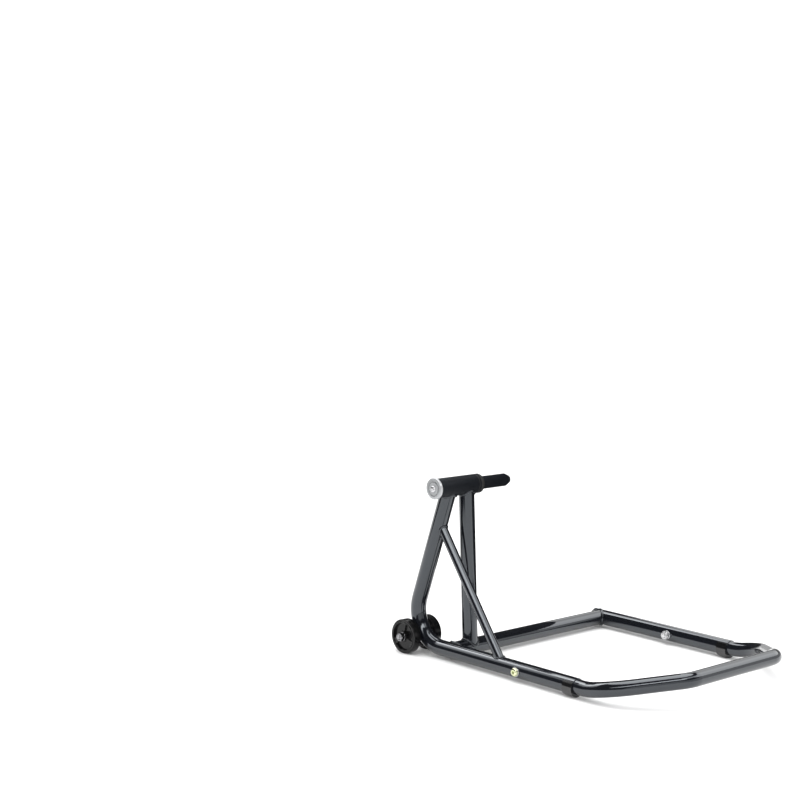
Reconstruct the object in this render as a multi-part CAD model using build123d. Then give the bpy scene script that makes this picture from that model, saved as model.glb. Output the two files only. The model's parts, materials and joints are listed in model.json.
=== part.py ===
from build123d import *
import os
from math import atan2, cos, degrees, radians, sin, tan

# Rear paddock stand for a single-sided swingarm. Millimetres, +Z up, floor at Z = 0.
# While it is drawn, X = 0 is the lifting pin's axis and Y = 0 lies midway between the side tubes.
# At the end everything is shifted so that the origin is the middle of the footprint.

# Frame
pin_height = 376.0            # lifting pin axis above the floor, with the stand raised
side_spacing = 493.0          # between the axes of the two side tubes
tube_axis_height = 22.0       # side tubes and cross tube, carried by the foot saddles
left_tube_end_x = 376.0       # open rear ends of the side tubes
right_tube_end_x = 385.0
side_tube_radius = 17.5
side_tube_bore = 16.0
upright_lean = 18.5           # degrees from vertical
upright_bend_radius = 75.0
cross_tube_x = 15.0
cross_tube_radius = 17.25
cross_tube_bore = 15.25
post_tube_radius = 17.0
post_tube_bore = 15.0
post_from_upright = 50.0      # post to upright, along the sleeve
post_foot_from_upright = 58.0  # the same at the cross tube
brace_radius = 10.0
brace_bore = 8.5
brace_top_below_pin = 81.0
brace_foot_x = 169.0

# Lifting pin and its sleeve
sleeve_radius = 21.0
sleeve_bore = 18.0
sleeve_outer_end = 39.5       # from the upright's axis to the sleeve's outer end
sleeve_length = 110.0
bush_bore = 15.0
bush_length = 22.0
bush_flange = 2.0
pin_running_gap = 0.05
pin_end_float = 0.4
pin_shoulder_radius = 20.0
pin_shoulder_length = 5.0
pin_nose_radius = 14.0
pin_nose_length = 92.0        # past the soft ring
pin_taper_length = 12.0
pin_tip_radius = 9.0
ring_radius = 21.0
ring_seat_radius = 16.0
ring_length = 8.0
cap_radius = 23.0
cap_thickness = 6.0

# Wheels
wheel_radius = 37.5
wheel_width = 22.0
wheel_offset = 31.0           # wheel's middle to the upright's middle plane
wheel_x = -94.0
wheel_edge_round = 1.5
rim_inner_radius = 30.0
hub_radius = 12.0
pocket_depth = 6.0
spoke_count = 3
spoke_width = 9.0
wheel_bush_radius = 8.0
wheel_bush_length = 22.6
axle_radius = 5.0
boss_radius = 11.0
boss_half_length = 18.0
washer_thickness = 1.6
washer_radius = 10.0

# Ten millimetre fasteners
hex_across_flats = 17.0
bolt_head_height = 6.4
nut_hex_height = 7.6
nut_collar_height = 2.4
nut_collar_radius = 7.4
thread_past_nut = 1.0
bolt_hole_radius = 5.25
socket_across_flats = 6.0
button_head_radius = 9.0
button_head_height = 5.5

# Eight millimetre bolt that holds the end cap
cap_bolt_radius = 4.0
cap_bolt_depth = 30.0         # tapped depth in the pin
cap_head_radius = 7.0
cap_head_height = 4.4
cap_socket_across_flats = 5.0

# Handle
handle_radius = 15.9
handle_bore = 13.9
handle_start_x = 150.0        # inner ends of the legs, inside the side tubes
handle_bolt_x = 222.0
handle_kink_x = 405.0
handle_kink_radius = 140.0
handle_rise = 12.6            # degrees
leg_length_past_kink = 63.0
bar_past_kink = 172.6
bar_half_length = 142.0
leg_bend_radius = 115.0
bar_bend_radius = 42.0

# Foot saddles and end plug
saddle_length = 25.0
saddle_top = 12.0             # open above this height over the tube's axis
saddle_ramp_length = 8.0
plug_head_thickness = 3.0
plug_stem_length = 14.0

side_y = side_spacing / 2
floor_run_z = tube_axis_height
upright_y = -side_y
post_y = upright_y + post_from_upright
post_foot_y = upright_y + post_foot_from_upright
corner_x = -(pin_height - floor_run_z) * tan(radians(upright_lean))
sleeve_start = upright_y - sleeve_outer_end
sleeve_end = sleeve_start + sleeve_length
wheel_z = wheel_radius
axle_half_grip = wheel_offset + wheel_bush_length / 2 + washer_thickness
axle_nut_height = nut_hex_height + nut_collar_height
handle_grip = side_tube_radius + washer_thickness
bar_x = handle_kink_x + bar_past_kink * cos(radians(handle_rise))

footprint_x = (wheel_x - wheel_radius, bar_x + handle_radius)
footprint_y = (
    upright_y - axle_half_grip - axle_nut_height - thread_past_nut,
    side_y + handle_grip + button_head_height,
)
centre_x = sum(footprint_x) / 2
centre_y = sum(footprint_y) / 2


def rod_y(radius, start, end, x, z):
    """Solid round bar along Y."""
    place = Plane(origin=(x, start, z), z_dir=(0, 1, 0))
    return place * Cylinder(radius, end - start, align=(Align.CENTER, Align.CENTER, Align.MIN))


def ring_y(radius, bore, start, end, x, z):
    """Round bar along Y with a bore right through."""
    return rod_y(radius, start, end, x, z) - rod_y(bore, start - 1, end + 1, x, z)


def rod_between(start, end, radius):
    """Solid round bar from one point to another."""
    axis = Vector(*end) - Vector(*start)
    place = Plane(origin=start, z_dir=axis)
    return place * Cylinder(radius, axis.length, align=(Align.CENTER, Align.CENTER, Align.MIN))


def hex_y(across_flats, start, end, x, z):
    """Hexagonal prism along Y, with a flat to the top."""
    place = Plane(origin=(x, start, z), x_dir=(1, 0, 0), z_dir=(0, 1, 0))
    outline = RegularPolygon(across_flats / 2, 6, major_radius=False, rotation=30)
    return extrude(place * outline, end - start)


def swept_rod(path, radius):
    """Solid round bar along a bent path."""
    start = Plane(origin=path @ 0, z_dir=path % 0)
    return sweep(start * Circle(radius), path=path)


def swept_tube(path, radius, bore):
    """Round tube along a bent path."""
    start = Plane(origin=path @ 0, z_dir=path % 0)
    return sweep(start * (Circle(radius) - Circle(bore)), path=path)


def upright_path():
    """From the lifting pin's axis down, forward and round into the left floor run."""
    points = [
        (0, upright_y, pin_height),
        (corner_x, upright_y, floor_run_z),
        (left_tube_end_x, upright_y, floor_run_z),
    ]
    return FilletPolyline(*points, radius=upright_bend_radius)


def handle_point(along, across):
    """Point of the handle's raised part, measured along its own slope."""
    slope = radians(handle_rise)
    return (handle_kink_x + along * cos(slope), across, floor_run_z + along * sin(slope))


def handle_path():
    """From inside the left side tube, round the bar, to inside the right side tube."""
    points = [
        (handle_start_x, -side_y, floor_run_z),
        (handle_kink_x, -side_y, floor_run_z),
        handle_point(leg_length_past_kink, -side_y),
        handle_point(bar_past_kink, -bar_half_length),
        handle_point(bar_past_kink, bar_half_length),
        handle_point(leg_length_past_kink, side_y),
        (handle_kink_x, side_y, floor_run_z),
        (handle_start_x, side_y, floor_run_z),
    ]
    bends = [handle_kink_radius, leg_bend_radius, bar_bend_radius]
    return FilletPolyline(*points, radius=bends + bends[::-1])


def cross_bolt_hole():
    """Clearance hole for both handle bolts, through both side tubes."""
    reach = side_y + side_tube_radius + 1
    return rod_y(bolt_hole_radius, -reach, reach, handle_bolt_x, floor_run_z)


def make_main_tube():
    bent = swept_tube(upright_path(), side_tube_radius, side_tube_bore)
    sleeve_seat = rod_y(sleeve_radius, sleeve_start, sleeve_end, 0, pin_height)
    return bent - sleeve_seat - cross_bolt_hole()


def make_post_tube():
    head = (0, post_y, pin_height)
    foot = (cross_tube_x, post_foot_y, floor_run_z)
    tube = rod_between(head, foot, post_tube_radius) - rod_between(head, foot, post_tube_bore)
    sleeve_seat = rod_y(sleeve_radius, sleeve_start, sleeve_end, 0, pin_height)
    cross_seat = rod_y(cross_tube_radius, upright_y, side_y, cross_tube_x, floor_run_z)
    return tube - sleeve_seat - cross_seat


def make_cross_tube():
    tube = ring_y(cross_tube_radius, cross_tube_bore, -side_y, side_y, cross_tube_x, floor_run_z)
    for y in (-side_y, side_y):
        front, rear = (cross_tube_x - 40, y, floor_run_z), (cross_tube_x + 40, y, floor_run_z)
        tube -= rod_between(front, rear, side_tube_radius)
    return tube


def make_right_side_tube():
    front = (cross_tube_x - side_tube_radius, side_y, floor_run_z)
    rear = (right_tube_end_x, side_y, floor_run_z)
    tube = rod_between(front, rear, side_tube_radius) - rod_between(front, rear, side_tube_bore)
    return tube - cross_bolt_hole()


def make_brace_tube():
    top_z = pin_height - brace_top_below_pin
    top_x = -brace_top_below_pin * tan(radians(upright_lean))
    top = (top_x, upright_y, top_z)
    foot = (brace_foot_x, upright_y, floor_run_z)
    tube = rod_between(top, foot, brace_radius) - rod_between(top, foot, brace_bore)
    return tube - swept_rod(upright_path(), side_tube_radius)


def make_sleeve():
    return ring_y(sleeve_radius, sleeve_bore, sleeve_start, sleeve_end, 0, pin_height)


def make_sleeve_bush(outer):
    """Flanged plain bearing, pressed into one end of the sleeve."""
    if outer:
        flange = (sleeve_start - bush_flange, sleeve_start)
        barrel = (sleeve_start, sleeve_start + bush_length)
    else:
        flange = (sleeve_end, sleeve_end + bush_flange)
        barrel = (sleeve_end - bush_length, sleeve_end)
    body = rod_y(sleeve_radius, *flange, 0, pin_height) + rod_y(sleeve_bore, *barrel, 0, pin_height)
    low, high = min(flange[0], barrel[0]), max(flange[1], barrel[1])
    return body - rod_y(bush_bore, low - 1, high + 1, 0, pin_height)


pin_shaft_start = sleeve_start - bush_flange - pin_end_float
pin_shaft_end = sleeve_end + bush_flange + pin_end_float
ring_start = pin_shaft_end + pin_shoulder_length
pin_nose_start = ring_start + ring_length
pin_taper_start = pin_nose_start + pin_nose_length - pin_taper_length
cap_face = pin_shaft_start - cap_thickness


def make_lifting_pin():
    shaft = rod_y(bush_bore - pin_running_gap, pin_shaft_start, pin_shaft_end, 0, pin_height)
    shoulder = rod_y(pin_shoulder_radius, pin_shaft_end, ring_start, 0, pin_height)
    seat = rod_y(ring_seat_radius, ring_start, pin_nose_start, 0, pin_height)
    nose = rod_y(pin_nose_radius, pin_nose_start, pin_taper_start, 0, pin_height)
    taper_place = Plane(origin=(0, pin_taper_start, pin_height), z_dir=(0, 1, 0))
    base = (Align.CENTER, Align.CENTER, Align.MIN)
    taper = taper_place * Cone(pin_nose_radius, pin_tip_radius, pin_taper_length, align=base)
    tapped = rod_y(cap_bolt_radius, pin_shaft_start - 1, pin_shaft_start + cap_bolt_depth, 0, pin_height)
    return shaft + shoulder + seat + nose + taper - tapped


def make_pin_ring():
    """Soft ring against the shoulder, that meets the wheel hub."""
    ring = ring_y(ring_radius, ring_seat_radius, ring_start, pin_nose_start, 0, pin_height)
    rims = ring.edges().filter_by(GeomType.CIRCLE).group_by(SortBy.RADIUS)[-1]
    return fillet(rims, 1.5)


def make_end_cap():
    disc = rod_y(cap_radius, cap_face, pin_shaft_start, 0, pin_height)
    disc = chamfer(disc.edges().group_by(Axis.Y)[0], 1.2)
    return disc - rod_y(cap_bolt_radius + 0.25, cap_face - 1, pin_shaft_start + 1, 0, pin_height)


def domed_head(face, outward, x, z, radius, height, across_flats):
    """Button head with a hexagon socket, standing on a face; outward is -1 or 1 along Y."""
    top = face + outward * height
    dome = rod_y(radius, *sorted((face, top)), x, z)
    rims = dome.edges().filter_by(GeomType.CIRCLE).group_by(Axis.Y)
    dome = fillet(rims[-1] if outward > 0 else rims[0], 0.7 * height)
    socket_floor = top - outward * 0.6 * height
    return dome - hex_y(across_flats, *sorted((socket_floor, top + outward)), x, z)


def make_cap_bolt():
    shank = rod_y(cap_bolt_radius, cap_face, pin_shaft_start + cap_bolt_depth - 4, 0, pin_height)
    head = domed_head(cap_face, -1, 0, pin_height, cap_head_radius, cap_head_height, cap_socket_across_flats)
    return shank + head


def make_axle_boss():
    start, end = upright_y - boss_half_length, upright_y + boss_half_length
    boss = ring_y(boss_radius, axle_radius + 0.25, start, end, wheel_x, wheel_z)
    return boss - swept_rod(upright_path(), side_tube_radius)


def lock_nut(inner_face, outward, x, z):
    """Hexagon with a round locking collar; outward is -1 or 1 along Y."""
    hex_end = inner_face + outward * nut_hex_height
    collar_end = hex_end + outward * nut_collar_height
    body = hex_y(hex_across_flats, *sorted((inner_face, hex_end)), x, z)
    body += rod_y(nut_collar_radius, *sorted((hex_end, collar_end)), x, z)
    low, high = sorted((inner_face, collar_end))
    return body - rod_y(axle_radius, low - 1, high + 1, x, z)


def bolt_shank(head_face, nut_face, x, z):
    """From under the bolt's head to past the nut that it carries."""
    direction = 1 if nut_face > head_face else -1
    tip = nut_face + direction * (axle_nut_height + thread_past_nut)
    return rod_y(axle_radius, *sorted((head_face, tip)), x, z)


def washer(inner_face, outward, x, z):
    outer_face = inner_face + outward * washer_thickness
    return ring_y(washer_radius, axle_radius + 0.25, *sorted((inner_face, outer_face)), x, z)


def make_axle_washers():
    """One against each end of the boss and one outside each wheel."""
    outside = axle_half_grip - washer_thickness
    faces = [(-outside, -1), (-boss_half_length, -1), (boss_half_length, 1), (outside, 1)]
    return Compound(children=[washer(upright_y + f, d, wheel_x, wheel_z) for f, d in faces])


def make_wheel(side):
    """Moulded wheel with ribbed pockets in both faces; side is -1 or 1 along Y."""
    middle = upright_y + side * wheel_offset
    low, high = middle - wheel_width / 2, middle + wheel_width / 2
    body = rod_y(wheel_radius, low, high, wheel_x, wheel_z)
    body = fillet(body.edges().filter_by(GeomType.CIRCLE), wheel_edge_round)
    for start, end in ((low, low + pocket_depth), (high - pocket_depth, high)):
        body -= wheel_pocket(start, end)
    return body - rod_y(wheel_bush_radius, low - 1, high + 1, wheel_x, wheel_z)


def wheel_pocket(start, end):
    ring = ring_y(rim_inner_radius, hub_radius, start, end, wheel_x, wheel_z)
    for index in range(spoke_count):
        turn = Rotation(0, index * 360 / spoke_count, 0)
        rib = Box(spoke_width, end - start, rim_inner_radius, align=(Align.CENTER, Align.MIN, Align.MIN))
        ring -= Location((wheel_x, start, wheel_z)) * turn * rib
    return ring


def make_wheel_bush(side):
    middle = upright_y + side * wheel_offset
    half = wheel_bush_length / 2
    bore = axle_radius + pin_running_gap
    return ring_y(wheel_bush_radius, bore, middle - half, middle + half, wheel_x, wheel_z)


def make_axle_bolt():
    head_face = upright_y + axle_half_grip
    head = hex_y(hex_across_flats, head_face, head_face + bolt_head_height, wheel_x, wheel_z)
    return head + bolt_shank(head_face, upright_y - axle_half_grip, wheel_x, wheel_z)


def make_axle_nut():
    return lock_nut(upright_y - axle_half_grip, -1, wheel_x, wheel_z)


def make_handle():
    return swept_tube(handle_path(), handle_radius, handle_bore) - cross_bolt_hole()


def both_sides(make_one):
    """The same piece at both side tubes, from the outward direction of each."""
    return Compound(children=[make_one(-1), make_one(1)])


def make_handle_bolts():
    def one(side):
        outer, inner = side * (side_y + handle_grip), side * (side_y - handle_grip)
        shank = bolt_shank(outer, inner, handle_bolt_x, floor_run_z)
        head = domed_head(outer, side, handle_bolt_x, floor_run_z, button_head_radius,
                          button_head_height, socket_across_flats)
        return shank + head
    return both_sides(one)


def make_handle_nuts():
    def one(side):
        return lock_nut(side * (side_y - handle_grip), -side, handle_bolt_x, floor_run_z)
    return both_sides(one)


def make_handle_washers():
    solids = []
    for side in (-1, 1):
        for face, outward in ((side_y + side_tube_radius, side), (side_y - side_tube_radius, -side)):
            solids.append(washer(side * face, outward, handle_bolt_x, floor_run_z))
    return Compound(children=solids)


def make_foot_saddle(side, rear):
    """Crescent clipped round the underside of a side tube, thickest where it stands."""
    y = side * side_y
    front = rear - saddle_length
    drop = floor_run_z - side_tube_radius
    outer_radius = side_tube_radius + drop / 2
    outer = rod_between((front, y, outer_radius), (rear, y, outer_radius), outer_radius)
    tube = rod_between((front - 1, y, floor_run_z), (rear + 1, y, floor_run_z), side_tube_radius)
    lid = Box(saddle_length + 2, 60, 40, align=(Align.MIN, Align.CENTER, Align.MIN))
    above = Location((front - 1, y, floor_run_z + saddle_top))
    ramp_angle = degrees(atan2(drop, saddle_ramp_length))
    ramp_cut = Rotation(0, ramp_angle, 0) * Box(40, 60, 20, align=(Align.CENTER, Align.CENTER, Align.MAX))
    ramp_foot = Location((front + saddle_ramp_length, y, 0))
    return outer - tube - above * lid - ramp_foot * ramp_cut


def make_end_plug():
    """Push-in plug that closes the right side tube's front end."""
    front = cross_tube_x - side_tube_radius
    head = rod_between((front - plug_head_thickness, side_y, floor_run_z), (front, side_y, floor_run_z),
                       side_tube_radius)
    head = fillet(head.edges().group_by(Axis.X)[0], 1.5)
    stem_end = (front + plug_stem_length, side_y, floor_run_z)
    return head + rod_between((front, side_y, floor_run_z), stem_end, side_tube_bore - 0.1)


parts = {
    "main_tube": make_main_tube(),
    "post_tube": make_post_tube(),
    "cross_tube": make_cross_tube(),
    "right_side_tube": make_right_side_tube(),
    "brace_tube": make_brace_tube(),
    "pin_sleeve": make_sleeve(),
    "outer_sleeve_bush": make_sleeve_bush(outer=True),
    "inner_sleeve_bush": make_sleeve_bush(outer=False),
    "lifting_pin": make_lifting_pin(),
    "pin_ring": make_pin_ring(),
    "end_cap": make_end_cap(),
    "end_cap_bolt": make_cap_bolt(),
    "axle_boss": make_axle_boss(),
    "axle_bolt": make_axle_bolt(),
    "axle_nut": make_axle_nut(),
    "axle_washers": make_axle_washers(),
    "outer_wheel": make_wheel(-1),
    "inner_wheel": make_wheel(1),
    "outer_wheel_bush": make_wheel_bush(-1),
    "inner_wheel_bush": make_wheel_bush(1),
    "handle": make_handle(),
    "handle_bolts": make_handle_bolts(),
    "handle_nuts": make_handle_nuts(),
    "handle_washers": make_handle_washers(),
    "left_foot_saddle": make_foot_saddle(-1, left_tube_end_x),
    "right_foot_saddle": make_foot_saddle(1, right_tube_end_x),
    "front_end_plug": make_end_plug(),
}

os.makedirs("parts", exist_ok=True)
to_footprint_centre = Location((-centre_x, -centre_y, 0))
for name, shape in parts.items():
    export_step(to_footprint_centre * shape, f"parts/{name}.step")
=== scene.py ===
import json
import math

import bmesh
import bpy
from mathutils import Matrix, Vector


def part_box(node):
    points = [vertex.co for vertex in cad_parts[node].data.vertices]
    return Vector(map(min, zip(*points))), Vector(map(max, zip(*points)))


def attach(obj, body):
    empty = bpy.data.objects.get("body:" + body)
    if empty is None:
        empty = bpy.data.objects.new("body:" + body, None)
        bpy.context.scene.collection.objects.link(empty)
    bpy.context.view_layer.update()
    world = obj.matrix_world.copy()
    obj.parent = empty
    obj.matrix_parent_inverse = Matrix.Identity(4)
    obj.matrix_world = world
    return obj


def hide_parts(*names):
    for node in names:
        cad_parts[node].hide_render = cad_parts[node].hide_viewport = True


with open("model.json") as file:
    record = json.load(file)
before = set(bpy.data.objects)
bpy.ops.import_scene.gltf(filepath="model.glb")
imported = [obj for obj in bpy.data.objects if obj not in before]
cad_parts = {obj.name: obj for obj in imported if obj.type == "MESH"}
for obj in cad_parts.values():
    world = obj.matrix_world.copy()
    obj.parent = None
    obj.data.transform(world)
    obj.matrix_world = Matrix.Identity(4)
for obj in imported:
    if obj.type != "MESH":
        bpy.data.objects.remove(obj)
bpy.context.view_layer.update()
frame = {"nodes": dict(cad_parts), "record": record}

NODES = frame["nodes"]
MM = 0.001


# ---------------------------------------------------------------- places taken from the frame

def middle(node):
    low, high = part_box(node)
    return (low + high) / 2


def half_height(node):
    low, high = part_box(node)
    return (high.z - low.z) / 2


PIN = middle("pin_sleeve")
AXLE = middle("axle_boss")
SIDE_Y = middle("right_side_tube").y
UPRIGHT_Y = middle("brace_tube").y
FLOOR_RUN_Z = middle("right_side_tube").z
SIDE_RADIUS = half_height("right_side_tube")


# ---------------------------------------------------------------- material helpers

COAT_ROUGHNESS = 0.03
NOISE_DETAIL = 3.0
NOISE_ROUGHNESS = 0.55
# Noise values at which a range of colour or roughness reaches its ends.
COLOUR_NOISE_SPAN = (0.35, 0.65)
ROUGHNESS_NOISE_SPAN = (0.3, 0.7)


def new_material(name, colour, roughness, metallic=0.0, specular=0.5, coat=0.0):
    material = bpy.data.materials.new(name)
    material.use_nodes = True
    shader = material.node_tree.nodes["Principled BSDF"]
    shader.inputs["Base Color"].default_value = (*colour, 1)
    shader.inputs["Roughness"].default_value = roughness
    shader.inputs["Metallic"].default_value = metallic
    shader.inputs["Specular IOR Level"].default_value = specular
    shader.inputs["Coat Weight"].default_value = coat
    shader.inputs["Coat Roughness"].default_value = COAT_ROUGHNESS
    return material


def add_node(material, kind, **settings):
    node = material.node_tree.nodes.new(kind)
    for key, value in settings.items():
        if key in node.inputs:
            node.inputs[key].default_value = value
        else:
            setattr(node, key, value)
    return node


def link(material, source, output, target, socket):
    material.node_tree.links.new(source.outputs[output], target.inputs[socket])


def object_noise(material, scale):
    place = add_node(material, "ShaderNodeTexCoord")
    settings = {"Scale": scale, "Detail": NOISE_DETAIL, "Roughness": NOISE_ROUGHNESS}
    noise = add_node(material, "ShaderNodeTexNoise", **settings)
    link(material, place, "Object", noise, "Vector")
    return noise


def vary_colour(material, scale, dark, light):
    """Base colour wanders between two tones."""
    noise = object_noise(material, scale)
    ramp = add_node(material, "ShaderNodeValToRGB")
    for element, position, tone in zip(ramp.color_ramp.elements, COLOUR_NOISE_SPAN, (dark, light)):
        element.position = position
        element.color = (*tone, 1)
    link(material, noise, "Fac", ramp, "Fac")
    link(material, ramp, "Color", material.node_tree.nodes["Principled BSDF"], "Base Color")


def vary_roughness(material, scale, low, high):
    noise = object_noise(material, scale)
    spread = add_node(material, "ShaderNodeMapRange")
    spread.inputs["From Min"].default_value = ROUGHNESS_NOISE_SPAN[0]
    spread.inputs["From Max"].default_value = ROUGHNESS_NOISE_SPAN[1]
    spread.inputs["To Min"].default_value = low
    spread.inputs["To Max"].default_value = high
    link(material, noise, "Fac", spread, "Value")
    link(material, spread, "Result", material.node_tree.nodes["Principled BSDF"], "Roughness")


def add_bump(material, source, distance, strength):
    bump = add_node(material, "ShaderNodeBump", Distance=distance, Strength=strength)
    link(material, source, "Fac", bump, "Height")
    link(material, bump, "Normal", material.node_tree.nodes["Principled BSDF"], "Normal")


# ---------------------------------------------------------------- materials

def powder_coat(name, tone, roughness, coat, specular):
    """Blue-black paint, whose reflections are slightly blue too."""
    material = new_material(name, (tone, tone * 1.15, tone * 1.6), roughness, specular=specular, coat=coat)
    shader = material.node_tree.nodes["Principled BSDF"]
    shader.inputs["Specular Tint"].default_value = (0.86, 0.93, 1, 1)
    vary_roughness(material, 90, roughness * 0.8, roughness * 1.3)
    add_bump(material, object_noise(material, 900), 0.04 * MM, strength=0.35)
    return material


FRAME_PAINT = powder_coat("frame_paint_gloss", 0.005, 0.10, 0.35, specular=0.7)
SLEEVE_PAINT = powder_coat("sleeve_paint_satin", 0.004, 0.42, 0.0, specular=0.22)
WELD_PAINT = powder_coat("weld_paint_gloss", 0.005, 0.15, 0.35, specular=0.7)


def moulded_plastic(name, tone, roughness, coat=0.0, specular=0.5):
    material = new_material(name, (tone, tone, tone * 1.06), roughness, specular=specular, coat=coat)
    vary_roughness(material, 140, roughness * 0.85, roughness * 1.2)
    add_bump(material, object_noise(material, 1600), 0.06 * MM, strength=0.5)
    return material


WHEEL_PLASTIC = moulded_plastic("wheel_plastic_black", 0.004, 0.14, specular=0.25)
SADDLE_RUBBER = moulded_plastic("saddle_rubber_black", 0.005, 0.17, 0.5)
PLUG_PLASTIC = moulded_plastic("plug_plastic_black", 0.016, 0.5)
BUSH_PLASTIC = moulded_plastic("bush_plastic_black", 0.012, 0.4)
RING_RUBBER = moulded_plastic("ring_rubber_black", 0.010, 0.6)


def plated_steel(name, dark, light, roughness, metallic=1.0):
    material = new_material(name, light, roughness, metallic=metallic)
    vary_colour(material, 260, dark, light)
    vary_roughness(material, 500, roughness * 0.8, roughness * 1.5)
    add_bump(material, object_noise(material, 2400), 0.03 * MM, strength=0.4)
    return material


def turned_metal(name, dark, light, roughness, groove):
    """Lathe-turned face: fine rings round the object's own Y axis."""
    material = new_material(name, light, roughness, metallic=0.55)
    place = add_node(material, "ShaderNodeTexCoord")
    settings = {"wave_type": "RINGS", "rings_direction": "Y", "Scale": 0.5 / groove}
    rings = add_node(material, "ShaderNodeTexWave", **settings)
    link(material, place, "Object", rings, "Vector")
    tones = add_node(material, "ShaderNodeMix", data_type="RGBA")
    tones.inputs["A"].default_value = (*dark, 1)
    tones.inputs["B"].default_value = (*light, 1)
    link(material, rings, "Fac", tones, "Factor")
    shader = material.node_tree.nodes["Principled BSDF"]
    mixed = next(output for output in tones.outputs if output.type == "RGBA")
    material.node_tree.links.new(mixed, shader.inputs["Base Color"])
    add_bump(material, rings, 0.04 * MM, strength=0.5)
    return material


ZINC_YELLOW = plated_steel("zinc_yellow", (0.56, 0.58, 0.34), (0.80, 0.84, 0.58), 0.22)
ZINC_SILVER = plated_steel("zinc_silver", (0.46, 0.46, 0.47), (0.66, 0.66, 0.67), 0.2, metallic=0.85)
# Darker copy of the silver zinc plating, for the axle's bolt, nut and washers: painted shade.
ZINC_SILVER_SHADED = plated_steel("zinc_silver_painted_shade", (0.16, 0.16, 0.17), (0.32, 0.32, 0.33), 0.16)
BUSH_STEEL = plated_steel("bush_steel", (0.45, 0.45, 0.46), (0.66, 0.66, 0.67), 0.22)
CAP_METAL = turned_metal("cap_metal_turned", (0.36, 0.37, 0.38), (0.54, 0.55, 0.56), 0.3, 0.8 * MM)
PIN_STEEL = powder_coat("pin_steel_black", 0.005, 0.35, 0.0, specular=0.3)

SLOT_MATERIALS = {
    "frame_paint": FRAME_PAINT,
    "sleeve_paint": SLEEVE_PAINT,
    "pin_steel": PIN_STEEL,
    "cap_metal": CAP_METAL,
    "zinc_yellow": ZINC_YELLOW,
    "zinc_silver": ZINC_SILVER,
    "wheel_plastic": WHEEL_PLASTIC,
    "bush_plastic": BUSH_PLASTIC,
    "bush_steel": BUSH_STEEL,
    "ring_rubber": RING_RUBBER,
    "saddle_rubber": SADDLE_RUBBER,
    "plug_plastic": PLUG_PLASTIC,
}

for part in frame["record"]["subparts"]:
    node = NODES[part["node"]]
    for material_slot in node.material_slots:
        material_slot.material = SLOT_MATERIALS[part["material_slot"]]


# ---------------------------------------------------------------- mesh helpers

SHARP_ANGLE = 32              # degrees between faces, past which an edge shades as sharp
FINE_STEPS = 96               # round a large turned shape


def about_y(radius, angle, y):
    return Vector((radius * math.cos(angle), y, radius * math.sin(angle)))


def turn_angles(steps):
    return [2 * math.pi * i / steps for i in range(steps)]


def skin(bm, rings, loop=False, capped=False):
    """Quads between rings of points; loop joins the last ring to the first, capped closes both ends."""
    rows = [[bm.verts.new(point) for point in ring] for ring in rings]
    pairs = list(zip(rows, rows[1:]))
    if loop:
        pairs.append((rows[-1], rows[0]))
    for low, high in pairs:
        for i in range(len(low)):
            j = (i + 1) % len(low)
            bm.faces.new((low[i], low[j], high[j], high[i]))
    if capped:
        bm.faces.new(rows[0])
        bm.faces.new(rows[-1])


def turned(profile, steps):
    """Rings of (radius, y) points turned about the Y axis."""
    return [[about_y(radius, angle, y) for angle in turn_angles(steps)] for radius, y in profile]


def stepped(start, spans):
    """Values from start to each span's end in turn, each span cut into its own number of steps."""
    values = [start]
    for end, steps in spans:
        start = values[-1]
        values += [start + (end - start) * (i + 1) / steps for i in range(steps)]
    return values


def round_corner(centre_radius, centre_y, radius, start, end, steps=5):
    """Profile points of a quarter round, from one angle to another in degrees."""
    points = []
    for i in range(steps + 1):
        angle = math.radians(start + (end - start) * i / steps)
        points.append((centre_radius + radius * math.cos(angle), centre_y + radius * math.sin(angle)))
    return points


def smooth_step(low, high, value):
    share = min(max((value - low) / (high - low), 0.0), 1.0)
    return share * share * (3 - 2 * share)


def add_piece(name, bm, material, body, replaced=(), at=Vector(), sharp_angle=SHARP_ANGLE):
    bmesh.ops.recalc_face_normals(bm, faces=bm.faces)
    mesh = bpy.data.meshes.new(name)
    bm.to_mesh(mesh)
    bm.free()
    mesh.shade_smooth()
    mesh.set_sharp_from_angle(angle=math.radians(sharp_angle))
    mesh.materials.append(material)
    obj = bpy.data.objects.new(name, mesh)
    obj.location = at
    bpy.context.scene.collection.objects.link(obj)
    if replaced:
        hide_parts(*replaced)
    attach(obj, body)


# ---------------------------------------------------------------- wheels

WHEEL_RADIUS = half_height("outer_wheel")
WHEEL_BORE = half_height("outer_wheel_bush")
HUB_RADIUS = 12 * MM
POCKET_RADIUS = 29.5 * MM
POCKET_DEPTH = 6 * MM
POCKET_WALL = 1.2 * MM        # width of the drafted walls
SPOKES = 3
SPOKE_HALF_AT_HUB = 3.6 * MM
SPOKE_HALF_AT_RIM = 6.4 * MM
SPOKE_SUNK = 0.9 * MM
LIP_RADIUS = 31.3 * MM
LIP_HALF_WIDTH = 1.5 * MM
LIP_RISE = 1.3 * MM
WHEEL_EDGE_ROUND = 1.5 * MM
PARTING_SUNK = 0.15 * MM      # groove round the middle of the tread, where the mould parted
PARTING_HALF_WIDTH = 0.6 * MM
WHEEL_SHARP_ANGLE = 38


def spoke_half(radius):
    share = smooth_step(HUB_RADIUS, POCKET_RADIUS, radius)
    return SPOKE_HALF_AT_HUB + (SPOKE_HALF_AT_RIM - SPOKE_HALF_AT_HUB) * share


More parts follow.
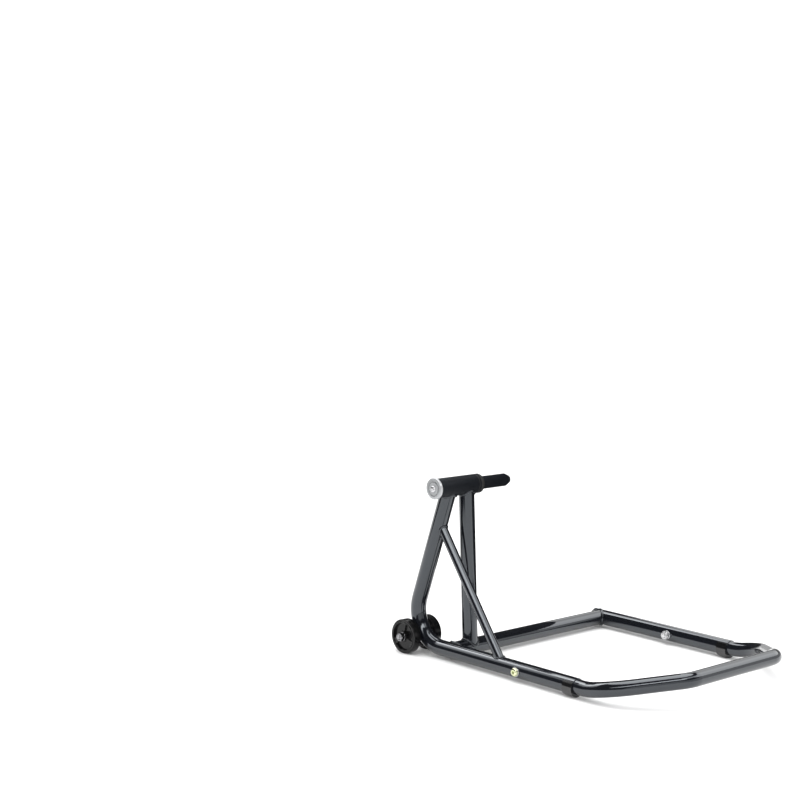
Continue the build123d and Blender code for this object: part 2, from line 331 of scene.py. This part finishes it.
def face_depth(radius, angle):
    """How far the wheel's face lies below its highest ring."""
    in_ring = smooth_step(HUB_RADIUS, HUB_RADIUS + POCKET_WALL, radius)
    in_ring *= 1 - smooth_step(POCKET_RADIUS - POCKET_WALL, POCKET_RADIUS, radius)
    sector = 2 * math.pi / SPOKES
    from_spoke = (angle - math.pi / 2 + sector / 2) % sector - sector / 2
    half = spoke_half(radius)
    off_spoke = smooth_step(half, half + POCKET_WALL, abs(math.sin(from_spoke)) * radius)
    off_lip = min(abs(radius - LIP_RADIUS) / LIP_HALF_WIDTH, 1.0)
    surround = LIP_RISE * (1 - math.sqrt(1 - off_lip ** 2))
    return surround + in_ring * (SPOKE_SUNK + off_spoke * (POCKET_DEPTH - LIP_RISE - SPOKE_SUNK))


def wheel_angles(radius):
    """Angles round the wheel, the same number at every radius, that follow the edges of the spokes."""
    inside = min(max(radius, HUB_RADIUS), POCKET_RADIUS)
    half = spoke_half(inside)
    half_sector = math.pi / SPOKES
    spoke_edge = math.asin(half / inside)
    wall_foot = math.asin((half + POCKET_WALL) / inside)
    offsets = stepped(0.0, ((spoke_edge, 4), (wall_foot, 6), (half_sector, 16)))
    sector_offsets = [-offset for offset in reversed(offsets[1:])] + offsets[:-1]
    middles = [math.pi / 2 + 2 * half_sector * i for i in range(SPOKES)]
    return [middle_angle + offset for middle_angle in middles for offset in sector_offsets]


def face_radii():
    """Rings of the face grid, closest together where the face steps."""
    return stepped(WHEEL_BORE, (
        (HUB_RADIUS, 4), (HUB_RADIUS + POCKET_WALL, 5), (POCKET_RADIUS - POCKET_WALL, 12),
        (POCKET_RADIUS, 5), (LIP_RADIUS - LIP_HALF_WIDTH, 1), (LIP_RADIUS + LIP_HALF_WIDTH, 14),
        (WHEEL_RADIUS - WHEEL_EDGE_ROUND, 3),
    ))


def make_wheel(node, body):
    low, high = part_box(node)
    half = (high.y - low.y) / 2
    face = [[(r, a, half - face_depth(r, a)) for a in wheel_angles(r)] for r in face_radii()]
    edge_y = half - LIP_RISE - WHEEL_EDGE_ROUND
    edge = round_corner(WHEEL_RADIUS - WHEEL_EDGE_ROUND, edge_y, WHEEL_EDGE_ROUND, 90, 0)[1:]
    tread = [(WHEEL_RADIUS, PARTING_HALF_WIDTH), (WHEEL_RADIUS, PARTING_HALF_WIDTH / 2)]
    near = face + [[(r, a, y) for a in wheel_angles(r)] for r, y in edge + tread]
    parting_radius = WHEEL_RADIUS - PARTING_SUNK
    parting = [(parting_radius, a, 0) for a in wheel_angles(parting_radius)]
    far = [[(r, a, -y) for r, a, y in ring] for ring in reversed(near)]
    rings = [[about_y(r, a, y) for r, a, y in ring] for ring in [*near, parting, *far]]
    bm = bmesh.new()
    skin(bm, rings, loop=True)
    name = f"{node}_moulding"
    add_piece(name, bm, WHEEL_PLASTIC, body, [node], middle(node), WHEEL_SHARP_ANGLE)


make_wheel("outer_wheel", "outer_wheel_body")
make_wheel("inner_wheel", "inner_wheel_body")


# ---------------------------------------------------------------- fasteners

HEX_HALF = 8.5 * MM
NUT_HEX_HEIGHT = 7.6 * MM
NUT_COLLAR_HEIGHT = 2.4 * MM
NUT_COLLAR_RADIUS = 7.4 * MM
BOLT_HEAD_HEIGHT = 6.4 * MM
BOLT_RADIUS = 5 * MM
THREAD_PITCH = 1.5 * MM
THREAD_DEPTH = 0.6 * MM
THREAD_LENGTH = 24 * MM
THREAD_PAST_NUT = 1 * MM
BOLT_TIP_CHAMFER = 1.0 * MM
WASHER_RADIUS = 10 * MM
WASHER_THICKNESS = 1.6 * MM
BUTTON_RADIUS = 9 * MM
BUTTON_HEIGHT = 5.5 * MM
BUTTON_SOCKET_HALF = 3 * MM
HEX_CHAMFER = math.tan(math.radians(30))
HEX_EDGE = 0.1 * MM           # between a hexagon's chamfer and its end face
NUT_BORE_GAP = 0.05 * MM
NUT_COLLAR_ROUND = 1.2 * MM
NUT_BORE_CHAMFER = 0.6 * MM
WASHER_BORE_GAP = 0.25 * MM
WASHER_ROUND = 0.5 * MM
SHANK_STEPS = 48
WASHER_STEPS = 72


def hex_radius(half_flats, angle):
    """From the middle of a hexagon to its outline, with a flat to the top."""
    from_flat = (angle - math.pi / 2 + math.pi / 6) % (math.pi / 3) - math.pi / 6
    return half_flats / math.cos(from_flat)


def hex_ring(half_flats, y, drop=0.0, limit=None):
    """Hexagon ring; drop lowers the corners as a turned chamfer does, and limit cuts them to a circle."""
    ring = []
    for angle in turn_angles(FINE_STEPS):
        radius = hex_radius(half_flats, angle)
        ring.append(about_y(min(radius, limit or radius), angle, y - drop * (radius - half_flats)))
    return ring


def thread_radius(angle, y):
    turn = (y / THREAD_PITCH + angle / (2 * math.pi)) % 1
    return BOLT_RADIUS - THREAD_DEPTH * abs(2 * turn - 1)


def threaded_rings(start, tip):
    """Rings from a plain shank to a threaded, chamfered tip, along +Y."""
    count = round((tip - start) / (THREAD_PITCH / 6))
    rings = []
    for i in range(count + 1):
        y = start + (tip - start) * i / count
        limit = BOLT_RADIUS - BOLT_TIP_CHAMFER + (tip - y)
        rings.append([about_y(min(thread_radius(a, y), limit), a, y) for a in turn_angles(SHANK_STEPS)])
    return rings


def placed(rings, at, outward):
    """Rings drawn towards +Y, set down at a place and pointing along outward (-1 or 1)."""
    return [[at + Vector((p.x, p.y * outward, p.z)) for p in ring] for ring in rings]


def hexagon_rings(height, seat_share, seat_rise):
    """A hexagon from its seat, turned down to a circle, to its chamfered end."""
    seat, end = HEX_HALF * seat_share, HEX_HALF * 0.95
    return [
        hex_ring(seat, 0, limit=seat),
        hex_ring(HEX_HALF, seat_rise),
        hex_ring(HEX_HALF, height - HEX_EDGE, drop=HEX_CHAMFER),
        hex_ring(end, height, limit=end),
    ]


def add_nut(bm, at, outward):
    """Hexagon nut with a lock ring's collar on its outer end."""
    bore = BOLT_RADIUS + NUT_BORE_GAP
    end = NUT_HEX_HEIGHT + NUT_COLLAR_HEIGHT
    rim = round_corner(NUT_COLLAR_RADIUS - NUT_COLLAR_ROUND, end - NUT_COLLAR_ROUND, NUT_COLLAR_ROUND, 0, 90)
    collar = [(NUT_COLLAR_RADIUS + 0.3 * MM, NUT_HEX_HEIGHT)] + rim
    collar += [(bore + NUT_BORE_CHAMFER, end), (bore, end - NUT_BORE_CHAMFER), (bore, 0)]
    rings = hexagon_rings(NUT_HEX_HEIGHT, 0.96, 0.4 * MM) + turned(collar, FINE_STEPS)
    skin(bm, placed(rings, at, outward), loop=True)


def add_washer(bm, at, outward):
    """Stamped washer, with one rounded rim."""
    bore = BOLT_RADIUS + WASHER_BORE_GAP
    rim = round_corner(WASHER_RADIUS - WASHER_ROUND, WASHER_THICKNESS - WASHER_ROUND, WASHER_ROUND, 0, 90, 3)
    profile = [(bore, 0), (WASHER_RADIUS - 0.2 * MM, 0), (WASHER_RADIUS, 0.2 * MM)] + rim
    profile += [(bore, WASHER_THICKNESS)]
    skin(bm, placed(turned(profile, WASHER_STEPS), at, outward), loop=True)


def add_shank(bm, at, outward, length):
    """From under the head to the tip, threaded at the far end."""
    plain_end = length - THREAD_LENGTH
    rings = turned([(BOLT_RADIUS, 0), (BOLT_RADIUS, plain_end)], SHANK_STEPS)
    rings += threaded_rings(plain_end + 0.3 * MM, length)
    skin(bm, placed(rings, at, outward), capped=True)


def add_button_head(bm, at, outward, radius, height, socket_half):
    """Domed head with a hexagon socket."""
    skirt, crown = 0.15 * height, 0.49 * radius
    dome = [(radius, 0), (radius, skirt)]
    for i in range(1, 9):
        angle = math.radians(10 * i)
        dome.append((crown + (radius - crown) * math.cos(angle), skirt + (height - skirt) * math.sin(angle)))
    dome.append((crown, height))
    rings = turned(dome, FINE_STEPS)
    rings.append(hex_ring(socket_half + 0.2 * MM, height))
    rings.append(hex_ring(socket_half, height - 0.3 * MM))
    rings.append(hex_ring(socket_half, 0.4 * height))
    skin(bm, placed(rings, at, outward), capped=True)


def add_hex_head(bm, at, outward):
    rings = hexagon_rings(BOLT_HEAD_HEIGHT, 0.97, 0.3 * MM)
    skin(bm, placed(rings, at, outward), capped=True)


def make_handle_bolt(name, side_y, outward, material):
    grip = SIDE_RADIUS + WASHER_THICKNESS
    length = 2 * grip + NUT_HEX_HEIGHT + NUT_COLLAR_HEIGHT + THREAD_PAST_NUT
    bolts = middle("handle_bolts")
    seat = Vector((bolts.x, side_y + outward * grip, bolts.z))
    bm = bmesh.new()
    add_button_head(bm, seat, outward, BUTTON_RADIUS, BUTTON_HEIGHT, BUTTON_SOCKET_HALF)
    add_shank(bm, seat, -outward, length)
    add_piece(name, bm, material, "frame", ["handle_bolts"])


def make_handle_fasteners():
    make_handle_bolt("handle_bolt_left", UPRIGHT_Y, -1, ZINC_YELLOW)
    make_handle_bolt("handle_bolt_right", SIDE_Y, 1, ZINC_SILVER)
    grip = SIDE_RADIUS + WASHER_THICKNESS
    nuts, washers = bmesh.new(), bmesh.new()
    for side_y, outward in ((UPRIGHT_Y, -1), (SIDE_Y, 1)):
        axis = Vector((middle("handle_bolts").x, side_y, middle("handle_bolts").z))
        across = Vector((0, outward, 0))
        add_nut(nuts, axis - across * grip, -outward)
        add_washer(washers, axis + across * SIDE_RADIUS, outward)
        add_washer(washers, axis - across * SIDE_RADIUS, -outward)
    add_piece("handle_lock_nuts", nuts, ZINC_SILVER, "frame", ["handle_nuts"])
    add_piece("handle_plain_washers", washers, ZINC_SILVER, "frame", ["handle_washers"])


def make_axle_fasteners():
    """Head on the inner wheel's side, nut on the outer; washers beyond both wheels and beside the boss."""
    low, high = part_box("axle_washers")
    boss_low, boss_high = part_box("axle_boss")
    nut_seat = Vector((AXLE.x, low.y, AXLE.z))
    head_seat = Vector((AXLE.x, high.y, AXLE.z))
    bolt, nut, washers = bmesh.new(), bmesh.new(), bmesh.new()
    add_hex_head(bolt, head_seat, 1)
    length = high.y - low.y + NUT_HEX_HEIGHT + NUT_COLLAR_HEIGHT + THREAD_PAST_NUT
    add_shank(bolt, head_seat, -1, length)
    add_nut(nut, nut_seat, -1)
    outer_face, inner_face = low.y + WASHER_THICKNESS, high.y - WASHER_THICKNESS
    for face, outward in ((outer_face, -1), (inner_face, 1), (boss_low.y, -1), (boss_high.y, 1)):
        add_washer(washers, Vector((AXLE.x, face, AXLE.z)), outward)
    # The axle's fasteners take the darker copy of the silver plating, as painted shade.
    add_piece("axle_hex_bolt", bolt, ZINC_SILVER_SHADED, "frame", ["axle_bolt"])
    add_piece("axle_lock_nut", nut, ZINC_SILVER_SHADED, "frame", ["axle_nut"])
    add_piece("axle_plain_washers", washers, ZINC_SILVER_SHADED, "frame", ["axle_washers"])


make_handle_fasteners()
make_axle_fasteners()


# ---------------------------------------------------------------- end cap

CAP_RIM_ROUND = 1.6 * MM
CAP_GROOVE_OUTER = 16.5 * MM
CAP_GROOVE_INNER = 13.5 * MM
CAP_GROOVE_DEPTH = 2.2 * MM
CAP_GROOVE_SLOPE = 0.6 * MM
CAP_BACK_CHAMFER = 0.4 * MM
CAP_BORE_GAP = 0.25 * MM
CAP_STEPS = 128
CAP_BOLT_RADIUS = 4 * MM
CAP_HEAD_RADIUS = 7 * MM
CAP_HEAD_HEIGHT = 4.4 * MM
CAP_SOCKET_HALF = 2.5 * MM


def make_end_cap():
    """Turned disc with a groove round its face, held by a button-head bolt; it faces -Y."""
    low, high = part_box("end_cap")
    radius, thickness = half_height("end_cap"), high.y - low.y
    bore = CAP_BOLT_RADIUS + CAP_BORE_GAP
    floor_y = thickness - CAP_GROOVE_DEPTH
    profile = [(bore, 0), (radius - CAP_BACK_CHAMFER, 0), (radius, CAP_BACK_CHAMFER)]
    profile += round_corner(radius - CAP_RIM_ROUND, thickness - CAP_RIM_ROUND, CAP_RIM_ROUND, 0, 90)
    profile += [(CAP_GROOVE_OUTER, thickness), (CAP_GROOVE_OUTER - CAP_GROOVE_SLOPE, floor_y)]
    profile += [(CAP_GROOVE_INNER + CAP_GROOVE_SLOPE, floor_y), (CAP_GROOVE_INNER, thickness)]
    profile += [(bore, thickness)]
    cap = bmesh.new()
    skin(cap, placed(turned(profile, CAP_STEPS), Vector(), -1), loop=True)
    back_face = Vector((PIN.x, high.y, PIN.z))
    add_piece("end_cap_turned", cap, CAP_METAL, "pin_body", ["end_cap"], back_face)


def make_end_cap_bolt():
    head_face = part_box("end_cap")[0].y
    shank_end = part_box("end_cap_bolt")[1].y
    bm = bmesh.new()
    add_button_head(bm, Vector(), -1, CAP_HEAD_RADIUS, CAP_HEAD_HEIGHT, CAP_SOCKET_HALF)
    shank = turned([(CAP_BOLT_RADIUS, 0), (CAP_BOLT_RADIUS, shank_end - head_face)], FINE_STEPS)
    skin(bm, shank, capped=True)
    seat = Vector((PIN.x, head_face, PIN.z))
    add_piece("end_cap_button_bolt", bm, ZINC_SILVER, "pin_body", ["end_cap_bolt"], seat)


make_end_cap()
make_end_cap_bolt()


# ---------------------------------------------------------------- weld beads

UPRIGHT_LEAN = math.radians(18.5)
UPRIGHT_BEND = 75 * MM
BEAD_RADIUS = 3.1 * MM
BEAD_PITCH = 2.6 * MM         # one ripple
BEAD_RIPPLE = 0.10            # share of the bead's radius
BEAD_SIDES = 14
BEAD_STEPS_PER_RIPPLE = 7
COPE_STEPS = 96
COPE_REACH = 60 * MM
BEND_STEPS = 24
WELD_SHARP_ANGLE = 75
BRACE_BEAD_RADIUS = 0.85 * BEAD_RADIUS
BOSS_BEAD_RADIUS = 0.9 * BEAD_RADIUS
# How the post and the brace run, from the lifting pin's axis and the upright's.
POST_RADIUS = 17 * MM
POST_FROM_UPRIGHT = 50 * MM
POST_FOOT_FROM_UPRIGHT = 58 * MM
BRACE_TOP_BELOW_PIN = 81 * MM
BRACE_FOOT_X = 169 * MM


def main_tube_axis():
    """From the lifting pin down the leaning upright, round the bend and along the floor run."""
    corner = Vector((PIN.x - (PIN.z - FLOOR_RUN_Z) * math.tan(UPRIGHT_LEAN), UPRIGHT_Y, FLOOR_RUN_Z))
    top = Vector((PIN.x, UPRIGHT_Y, PIN.z))
    turn = math.radians(90) + UPRIGHT_LEAN
    tangent = UPRIGHT_BEND * math.tan(turn / 2)
    centre = corner + Vector((tangent, 0, UPRIGHT_BEND))
    points = [top]
    for i in range(BEND_STEPS + 1):
        angle = turn * (1 - i / BEND_STEPS)
        points.append(centre + UPRIGHT_BEND * Vector((-math.sin(angle), 0, -math.cos(angle))))
    points.append(Vector((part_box("main_tube")[1].x, UPRIGHT_Y, FLOOR_RUN_Z)))
    return points


def distance_to_axis(point, axis):
    nearest = 1.0
    for start, end in zip(axis, axis[1:]):
        along = end - start
        share = min(max((point - start).dot(along) / along.length_squared, 0), 1)
        nearest = min(nearest, (point - start - along * share).length)
    return nearest


def across_directions(along):
    side = along.cross(Vector((0.3, 0.2, 1)) if abs(along.z) < 0.8 else Vector((0, 1, 0))).normalized()
    return side, along.cross(side).normalized()


def surface_exit(line, along, target_axis, target_radius):
    """Distance along a line to where it leaves the target tube, or 0 if it starts outside."""
    low, high = 0.0, COPE_REACH
    for _ in range(18):
        mid = (low + high) / 2
        if distance_to_axis(line + along * mid, target_axis) < target_radius:
            low = mid
        else:
            high = mid
    return low


def cope_curve(start, along, radius, target_axis, target_radius):
    """Where a round tube that starts inside the target leaves its surface."""
    side, up = across_directions(along)
    points = []
    for angle in turn_angles(COPE_STEPS):
        line = start + (side * math.cos(angle) + up * math.sin(angle)) * radius
        points.append(line + along * surface_exit(line, along, target_axis, target_radius))
    return points


def even_points(curve):
    """Closed curve walked again in equal steps, a whole number of ripples long."""
    loop = curve + curve[:1]
    lengths = [0.0]
    for a, b in zip(loop, loop[1:]):
        lengths.append(lengths[-1] + (b - a).length)
    ripples = max(8, round(lengths[-1] / BEAD_PITCH))
    count = ripples * BEAD_STEPS_PER_RIPPLE
    points, segment = [], 0
    for i in range(count):
        wanted = lengths[-1] * i / count
        while lengths[segment + 1] < wanted:
            segment += 1
        share = (wanted - lengths[segment]) / (lengths[segment + 1] - lengths[segment])
        points.append(loop[segment].lerp(loop[segment + 1], share))
    return points


def make_bead(name, curve, radius=BEAD_RADIUS):
    """Rippled weld bead laid along a closed curve."""
    points = even_points(curve)
    centre = sum(points, Vector()) / len(points)
    rings = []
    for i, point in enumerate(points):
        tangent = (points[(i + 1) % len(points)] - points[i - 1]).normalized()
        outward = point - centre
        outward = (outward - tangent * outward.dot(tangent)).normalized()
        other = tangent.cross(outward)
        ring = []
        for angle in turn_angles(BEAD_SIDES):
            phase = (i / BEAD_STEPS_PER_RIPPLE + 0.45 * math.cos(2 * angle)) % 1
            size = radius * (1 + BEAD_RIPPLE * (1 - 2 * abs(phase - 0.5) * 2 ** 0.5))
            ring.append(point + (outward * math.cos(angle) + other * math.sin(angle)) * size)
        rings.append(ring)
    bm = bmesh.new()
    skin(bm, rings, loop=True)
    add_piece(name, bm, WELD_PAINT, "frame", sharp_angle=WELD_SHARP_ANGLE)


def boss_curve(axis):
    """Where the axle boss's round side lies inside the bent tube: one loop over both halves."""
    radius = half_height("axle_boss")
    start = Vector((AXLE.x, UPRIGHT_Y, AXLE.z))
    toward = Vector((1, 0, 0.75)).normalized()
    upward = Vector((-toward.z, 0, toward.x))
    halves = []
    for i in range(-30, 31):
        angle = math.radians(i * 3)
        line = start + (toward * math.cos(angle) + upward * math.sin(angle)) * radius
        if distance_to_axis(line, axis) < SIDE_RADIUS:
            reach = surface_exit(line, Vector((0, 1, 0)), axis, SIDE_RADIUS)
            halves.append((line, reach))
    near = [line + Vector((0, reach, 0)) for line, reach in halves]
    far = [line - Vector((0, reach, 0)) for line, reach in reversed(halves)]
    return near + far


def make_welds():
    main_axis = main_tube_axis()
    cross = middle("cross_tube")
    cross_radius = half_height("cross_tube")
    cross_axis = [Vector((cross.x, UPRIGHT_Y, cross.z)), Vector((cross.x, SIDE_Y, cross.z))]
    right_axis = [Vector((PIN.x - 0.1, SIDE_Y, FLOOR_RUN_Z)), Vector((PIN.x + 0.5, SIDE_Y, FLOOR_RUN_Z))]
    sleeve_low, sleeve_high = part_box("pin_sleeve")
    sleeve_radius = half_height("pin_sleeve")
    sleeve_axis = [Vector((PIN.x, sleeve_low.y, PIN.z)), Vector((PIN.x, sleeve_high.y, PIN.z))]
    to_right, to_left = Vector((0, 1, 0)), Vector((0, -1, 0))
    make_bead("weld_cross_left", cope_curve(cross_axis[0], to_right, cross_radius, main_axis, SIDE_RADIUS))
    make_bead("weld_cross_right", cope_curve(cross_axis[1], to_left, cross_radius, right_axis, SIDE_RADIUS))

    down = (main_axis[1] - main_axis[0]).normalized()
    upright_top = cope_curve(main_axis[0], down, SIDE_RADIUS, sleeve_axis, sleeve_radius)
    make_bead("weld_upright_sleeve", upright_top)

    post_top = Vector((PIN.x, UPRIGHT_Y + POST_FROM_UPRIGHT, PIN.z))
    post_foot = Vector((cross.x, UPRIGHT_Y + POST_FOOT_FROM_UPRIGHT, cross.z))
    post_down = (post_foot - post_top).normalized()
    make_bead("weld_post_sleeve", cope_curve(post_top, post_down, POST_RADIUS, sleeve_axis, sleeve_radius))
    make_bead("weld_post_cross", cope_curve(post_foot, -post_down, POST_RADIUS, cross_axis, cross_radius))

    brace_low, brace_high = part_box("brace_tube")
    brace_radius = (brace_high.y - brace_low.y) / 2
    brace_top = main_axis[0] + down * (BRACE_TOP_BELOW_PIN / math.cos(UPRIGHT_LEAN))
    brace_foot = Vector((PIN.x + BRACE_FOOT_X, UPRIGHT_Y, FLOOR_RUN_Z))
    brace_down = (brace_foot - brace_top).normalized()
    top_curve = cope_curve(brace_top, brace_down, brace_radius, main_axis, SIDE_RADIUS)
    make_bead("weld_brace_top", top_curve, BRACE_BEAD_RADIUS)
    foot_curve = cope_curve(brace_foot, -brace_down, brace_radius, main_axis, SIDE_RADIUS)
    make_bead("weld_brace_foot", foot_curve, BRACE_BEAD_RADIUS)
    make_bead("weld_axle_boss", boss_curve(main_axis), BOSS_BEAD_RADIUS)


make_welds()


# ---------------------------------------------------------------- studio

STAGE_RADIUS = 9.0
FLOOR_RADIUS = 60.0
DARK_ROOM = 0.06
BAND_RADIUS = 7.2
BAND_STEP = 3                 # degrees between columns
BAND_ROWS = 6
# Bands of soft light, seen only as reflections in the gloss. Each point is the azimuth and elevation
# of the band's middle, half its height (all in degrees) and its brightness. Azimuth 0 is +X, 90 is +Y.
HIGH_BAND = (
    (-98, 27, 3, 2.0), (-76, 32, 4.5, 5.4), (-52, 40, 4.5, 6.2), (-32, 45, 8, 5.8), (-10, 50, 7, 2.8),
    (15, 50, 7, 2.4), (40, 40, 10, 3.2), (60, 34, 14, 2.8), (80, 34, 16, 3.0), (98, 34, 14, 1.9),
    (115, 30, 12, 1.2), (130, 34, 14, 1.8), (142, 55, 8, 3.2), (160, 55, 9, 2.8), (176, 48, 10, 4.6),
    (192, 42, 10, 8.0), (208, 36, 9, 2.6), (222, 31, 6, 1.0),
)
LOW_BAND = (
    (-64, 5, 7, 0.6), (-50, 9, 13, 1.0), (-20, 9, 13, 0.9), (20, 9, 13, 0.9), (50, 10, 13, 0.95),
    (75, 8, 10, 0.7), (95, 6, 8, 0.45), (120, 3, 6, 0.5), (140, 1, 4, 0.9), (170, 1, 4, 1.0),
    (190, 1, 4, 1.2),
)
# The floor is dark in the reflections past this distance, over this span of azimuths.
SKIRT_START = 1.9
SKIRT_HEIGHT = 0.02
SKIRT_AZIMUTHS = (-152, -76)
SKIRT_STEPS = 32
TOP_CARD_HEIGHT = 6.3
TOP_CARD_RADIUS = 3.4
TOP_CARD_OFFSET = Vector((-1.1, 0.5, 0))
TOP_CARD_BRIGHTNESS = 4.2
WORLD_BRIGHTNESS = 1.5
TOP_LAMP_WATTS = 45
TOP_LAMP_SIZE = 2.6
TOP_LAMP_PLACE = (-0.5, -0.3, 3.2)
# The wheel of the motorcycle that the stand carries, as a dark shape in the reflections.
CARRIED_WHEEL_RADIUS = 0.32
CARRIED_WHEEL_HALF_WIDTH = 0.095
CARRIED_WHEEL_FROM_UPRIGHT = 0.21
CARRIED_TYRE_ROUND = 0.09
CARRIED_HUB_RADIUS = 0.02
CARRIED_HUB_SHARE = 0.6       # of the half width, at the hub
CARRIED_WHEEL_GLOW = 0.05


def glow_material(name, brightness):
    """Light of one brightness, or of the mesh's own glow layer where brightness is None."""
    material = bpy.data.materials.new(name)
    material.use_nodes = True
    nodes = material.node_tree.nodes
    nodes.remove(nodes["Principled BSDF"])
    glow = nodes.new("ShaderNodeEmission")
    glow.inputs["Color"].default_value = (1, 1, 1, 1)
    if brightness is None:
        layer = add_node(material, "ShaderNodeAttribute", attribute_name="glow")
        link(material, layer, "Fac", glow, "Strength")
    else:
        glow.inputs["Strength"].default_value = brightness
    link(material, glow, "Emission", nodes["Material Output"], "Surface")
    material.cycles.emission_sampling = "NONE"
    return material


def stage_piece(name, bm, material):
    mesh = bpy.data.meshes.new(name)
    bm.to_mesh(mesh)
    bm.free()
    mesh.materials.append(material)
    obj = bpy.data.objects.new(name, mesh)
    bpy.context.scene.collection.objects.link(obj)
    return obj


def only_in_reflections(obj):
    obj.visible_camera = False
    obj.visible_diffuse = False
    obj.visible_transmission = False
    obj.visible_volume_scatter = False
    obj.visible_shadow = False


def direction(azimuth, elevation):
    azimuth, elevation = math.radians(azimuth), math.radians(elevation)
    return Vector((
        math.cos(azimuth) * math.cos(elevation),
        math.sin(azimuth) * math.cos(elevation),
        math.sin(elevation),
    ))


def make_floor():
    bm = bmesh.new()
    bmesh.ops.create_circle(bm, cap_ends=True, segments=96, radius=FLOOR_RADIUS)
    material = new_material("studio_floor_white", (0.9, 0.9, 0.9), 0.7, specular=0.1)
    stage_piece("studio_floor", bm, material)


def make_dark_room():
    bm = bmesh.new()
    bmesh.ops.create_icosphere(bm, subdivisions=4, radius=STAGE_RADIUS)
    only_in_reflections(stage_piece("dark_room", bm, glow_material("dark_room", DARK_ROOM)))


def make_light_band(name, points):
    """Ribbon on a sphere round the stand, its brightness blended from point to point."""
    bm = bmesh.new()
    layer = bm.verts.layers.float.new("glow")
    columns = []
    for start, end in zip(points, points[1:]):
        steps = max(2, round((end[0] - start[0]) / BAND_STEP))
        for i in range(steps + (end is points[-1])):
            azimuth, elevation, half, glow = (a + (b - a) * i / steps for a, b in zip(start, end))
            column = []
            for j in range(BAND_ROWS + 1):
                share = 2 * j / BAND_ROWS - 1
                vert = bm.verts.new(direction(azimuth, elevation + half * share) * BAND_RADIUS)
                vert[layer] = glow
                column.append(vert)
            columns.append(column)
    for left, right in zip(columns, columns[1:]):
        for j in range(BAND_ROWS):
            bm.faces.new((left[j], right[j], right[j + 1], left[j + 1]))
    only_in_reflections(stage_piece(name, bm, glow_material(name, None)))


def make_dark_skirt():
    bm = bmesh.new()
    first, last = SKIRT_AZIMUTHS
    columns = []
    for i in range(SKIRT_STEPS + 1):
        outward = direction(first + (last - first) * i / SKIRT_STEPS, 0)
        lift = Vector((0, 0, SKIRT_HEIGHT))
        columns.append([bm.verts.new(outward * reach + lift) for reach in (SKIRT_START, STAGE_RADIUS)])
    for left, right in zip(columns, columns[1:]):
        bm.faces.new((left[0], left[1], right[1], right[0]))
    only_in_reflections(stage_piece("dark_skirt", bm, glow_material("dark_skirt", DARK_ROOM)))


def make_top_card():
    bm = bmesh.new()
    bmesh.ops.create_circle(bm, cap_ends=True, segments=64, radius=TOP_CARD_RADIUS)
    top = stage_piece("card_top", bm, glow_material("card_top", TOP_CARD_BRIGHTNESS))
    top.location = TOP_CARD_OFFSET + Vector((0, 0, TOP_CARD_HEIGHT))
    only_in_reflections(top)


def make_carried_wheel():
    half = CARRIED_WHEEL_HALF_WIDTH
    side_radius = CARRIED_WHEEL_RADIUS - CARRIED_TYRE_ROUND
    profile = [(CARRIED_HUB_RADIUS, -half * CARRIED_HUB_SHARE), (side_radius, -half)]
    for i in range(13):
        angle = math.radians(-90 + 15 * i)
        profile.append((side_radius + CARRIED_TYRE_ROUND * math.cos(angle), half * math.sin(angle)))
    profile.append((CARRIED_HUB_RADIUS, half * CARRIED_HUB_SHARE))
    bm = bmesh.new()
    skin(bm, turned(profile, FINE_STEPS), capped=True)
    wheel = stage_piece("carried_wheel", bm, glow_material("carried_wheel_dark", CARRIED_WHEEL_GLOW))
    wheel.location = (PIN.x, UPRIGHT_Y + CARRIED_WHEEL_FROM_UPRIGHT + half, PIN.z)
    only_in_reflections(wheel)


def make_top_lamp():
    lamp = bpy.data.lights.new("top_lamp", "AREA")
    lamp.shape = "DISK"
    lamp.size = TOP_LAMP_SIZE
    lamp.energy = TOP_LAMP_WATTS
    obj = bpy.data.objects.new("top_lamp", lamp)
    obj.location = TOP_LAMP_PLACE
    obj.rotation_euler = (-obj.location).to_track_quat("-Z", "Y").to_euler()
    obj.visible_glossy = False
    bpy.context.scene.collection.objects.link(obj)


make_floor()
make_dark_room()
make_light_band("band_high", HIGH_BAND)
make_light_band("band_low", LOW_BAND)
make_dark_skirt()
make_top_card()
make_carried_wheel()
make_top_lamp()

world = bpy.data.worlds.new("studio_world")
bpy.context.scene.world = world
world.use_nodes = True
world.node_tree.nodes["Background"].inputs["Color"].default_value = (1, 1, 1, 1)
world.node_tree.nodes["Background"].inputs["Strength"].default_value = WORLD_BRIGHTNESS


# ---------------------------------------------------------------- camera

CAMERA_AZIMUTH = 47.339       # degrees, 0 looks along +Y and 90 along -X
CAMERA_ELEVATION = 6.276
CAMERA_ROLL = 1.035
CAMERA_LENS = 75.93           # millimetres, on a sensor CAMERA_SENSOR wide
CAMERA_SENSOR = 36
CAMERA_FROM_PIN = Vector((2.5438, -2.4929, 0.5760))   # metres, from the lifting pin over the left side tube


def make_camera():
    azimuth, elevation = math.radians(CAMERA_AZIMUTH), math.radians(CAMERA_ELEVATION)
    back = Vector((
        math.sin(azimuth) * math.cos(elevation),
        -math.cos(azimuth) * math.cos(elevation),
        math.sin(elevation),
    ))
    right = Vector((math.cos(azimuth), math.sin(azimuth), 0))
    up = back.cross(right)
    level = Matrix((right, up, back)).transposed()
    data = bpy.data.cameras.new("camera")
    data.lens = CAMERA_LENS
    data.sensor_width = CAMERA_SENSOR
    camera = bpy.data.objects.new("camera", data)
    camera.rotation_mode = "QUATERNION"
    camera.rotation_quaternion = (level @ Matrix.Rotation(math.radians(CAMERA_ROLL), 3, "Z")).to_quaternion()
    camera.location = Vector((PIN.x, UPRIGHT_Y, PIN.z)) + CAMERA_FROM_PIN
    bpy.context.scene.collection.objects.link(camera)
    bpy.context.scene.camera = camera


make_camera()
bpy.context.scene.view_settings.view_transform = "Standard"
